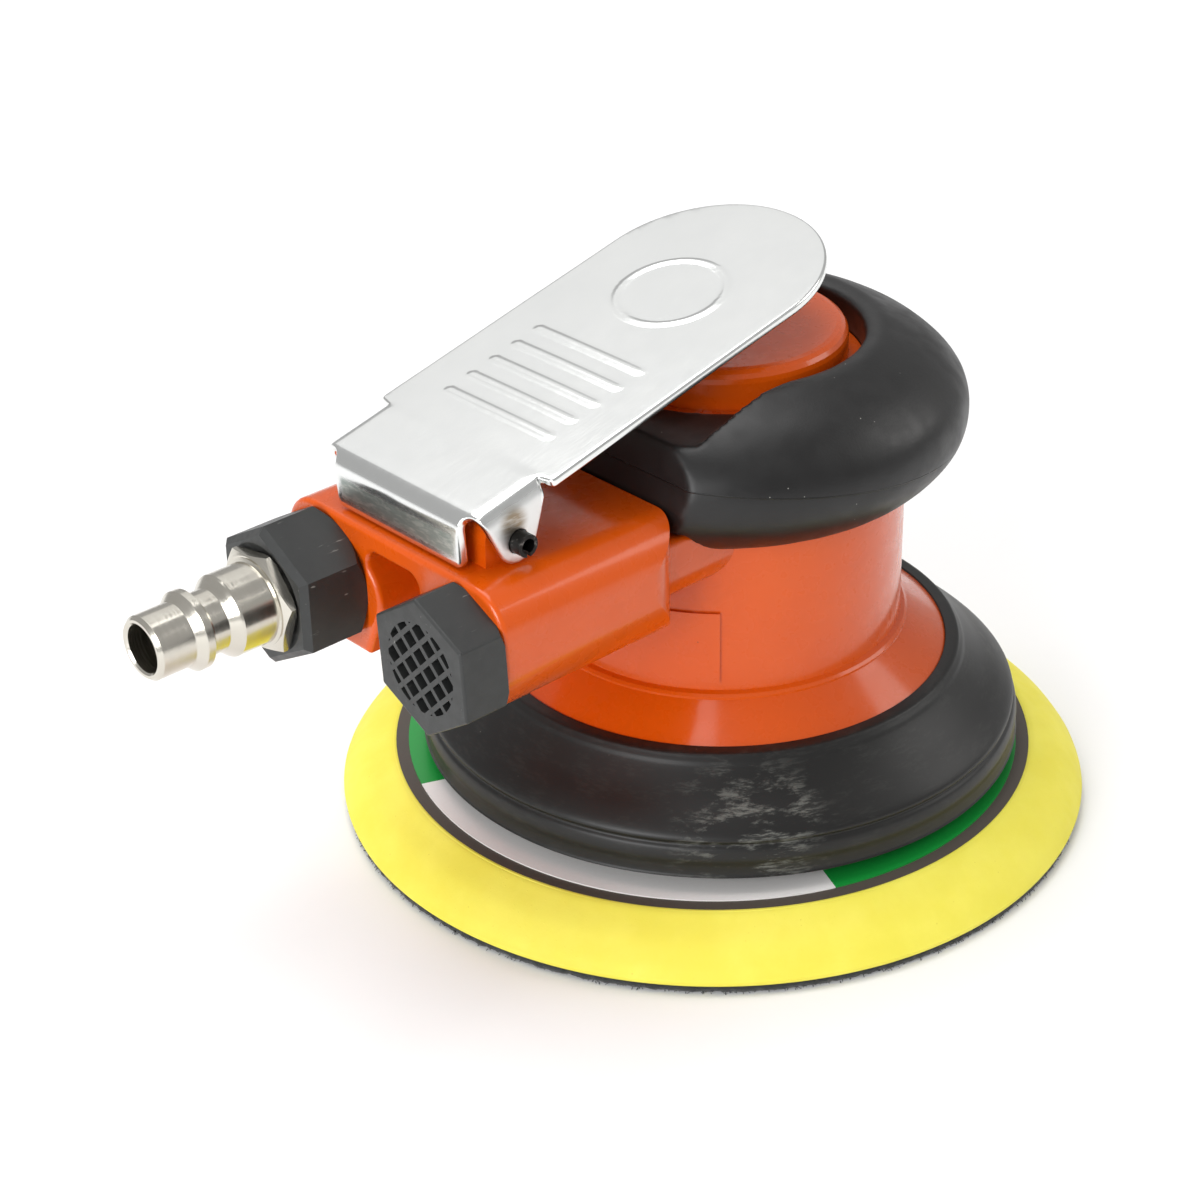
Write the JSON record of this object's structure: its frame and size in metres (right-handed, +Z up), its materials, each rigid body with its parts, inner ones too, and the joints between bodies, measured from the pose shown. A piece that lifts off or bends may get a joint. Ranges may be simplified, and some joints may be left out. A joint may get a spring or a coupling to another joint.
{
  "type": "pneumatic random orbital palm sander",
  "caption": "Pneumatic palm sander: orange barrel housing with a black rubber grip ring, chrome lever, side air ports and a round foam pad.",
  "frame": {"origin": "on the motor axis, at the sanding face of the pad", "axes": "+Z up along the motor axis, -X the way the air inlet and exhaust point, +Y on the inlet side"},
  "size_m": [0.1619, 0.125, 0.0976],
  "materials": {
    "orange_paint": "glossy orange enamel over cast aluminium",
    "grip_rubber": "satin black moulded rubber, finely grained",
    "shroud_rubber": "satin black rubber with pale scuffs",
    "black_plastic": "satin black moulded nylon",
    "chrome_sheet": "bright chrome plate, softly polished",
    "nickel_plate": "bright nickel plate over brass",
    "blackened_steel": "black oxide",
    "bare_steel": "ground steel",
    "bearing_steel": "polished bearing steel",
    "motor_iron": "machined iron",
    "plate_aluminium": "machined aluminium",
    "vane_resin": "brown laminated resin",
    "seal_rubber": "smooth black nitrile",
    "brass_part": "turned brass",
    "felt": "grey felt",
    "spring_wire": "drawn spring wire",
    "pad_foam": "matt yellow moulded polyurethane foam",
    "backing_plate": "dark grey fibre-filled plastic",
    "label": "printed label, plain white and green sectors",
    "hook_fabric": "black hook fabric"
  },
  "bodies": {
    "housing": {"motor_housing": "orange_paint", "comfort_grip": "grip_rubber", "shroud": "shroud_rubber", "lock_ring": "plate_aluminium", "front_end_plate": "motor_iron", "front_bearing": "bearing_steel", "motor_cylinder": "motor_iron", "cylinder_pin": "bare_steel", "rear_end_plate": "motor_iron", "rear_bearing": "bearing_steel", "motor_o_ring": "seal_rubber", "inlet_bushing": "black_plastic", "inlet_o_ring": "seal_rubber", "air_plug": "nickel_plate", "exhaust_muffler": "black_plastic", "muffler_felt": "felt", "lever_pin": "blackened_steel", "valve_sleeve": "brass_part", "valve_seat": "seal_rubber", "valve_spring": "spring_wire", "regulator_pin": "blackened_steel"},
    "lever": {"throttle_lever": "chrome_sheet"},
    "stem": {"valve_stem": "bare_steel", "stem_o_ring": "seal_rubber"},
    "tip": {"tip_valve": "brass_part"},
    "regulator": {"speed_regulator": "black_plastic", "regulator_o_ring": "seal_rubber"},
    "crank": {"shaft_balancer": "bare_steel", "rotor": "bare_steel", "rotor_vanes": "vane_resin", "rotor_key": "bare_steel", "spindle_bearing": "bearing_steel", "bearing_retainer": "spring_wire", "dust_shield": "bare_steel"},
    "pad": {"spindle": "bare_steel", "spindle_clip": "spring_wire", "pad_backing_plate": "backing_plate", "pad_stud": "bare_steel", "pad_foam": "pad_foam", "pad_label": "label", "hook_face": "hook_fabric"}
  },
  "joints": [
    {"name": "lever_press", "type": "hinge", "parent": "housing", "child": "lever", "pos_m": [-0.0578, 0, 0.0732], "axis": [0, 1, 0], "range_deg": [0, 5.5], "stiffness_Nm_per_rad": 0.12, "springref_deg": -28.65},
    {"name": "stem_travel", "type": "slide", "parent": "housing", "child": "stem", "axis": [0, 0, -1], "range_m": [0, 0.00125]},
    {"name": "tip_valve_tilt", "type": "hinge", "parent": "housing", "child": "tip", "pos_m": [-0.05892, 0.016, 0.0641], "axis": [0, 1, 0], "range_deg": [0, 6.4], "deforming": ["valve_spring"]},
    {"name": "speed_turn", "type": "hinge", "parent": "housing", "child": "regulator", "pos_m": [-0.0394, 0.025, 0.0585], "axis": [0, 1, 0], "range_deg": [0, 90]},
    {"name": "motor_spin", "type": "hinge", "parent": "housing", "child": "crank", "pos_m": [0, 0, 0.03], "axis": [0, 0, 1], "continuous": true},
    {"name": "pad_spin", "type": "hinge", "parent": "crank", "child": "pad", "pos_m": [-0.00088, 0.00088, 0.02], "axis": [0, 0, 1], "continuous": true}
  ],
  "couplings": [
    {"joint": "stem_travel", "follows": "lever_press", "m_per_rad": 0.0127},
    {"joint": "tip_valve_tilt", "follows": "lever_press", "ratio": 1.15}
  ]
}
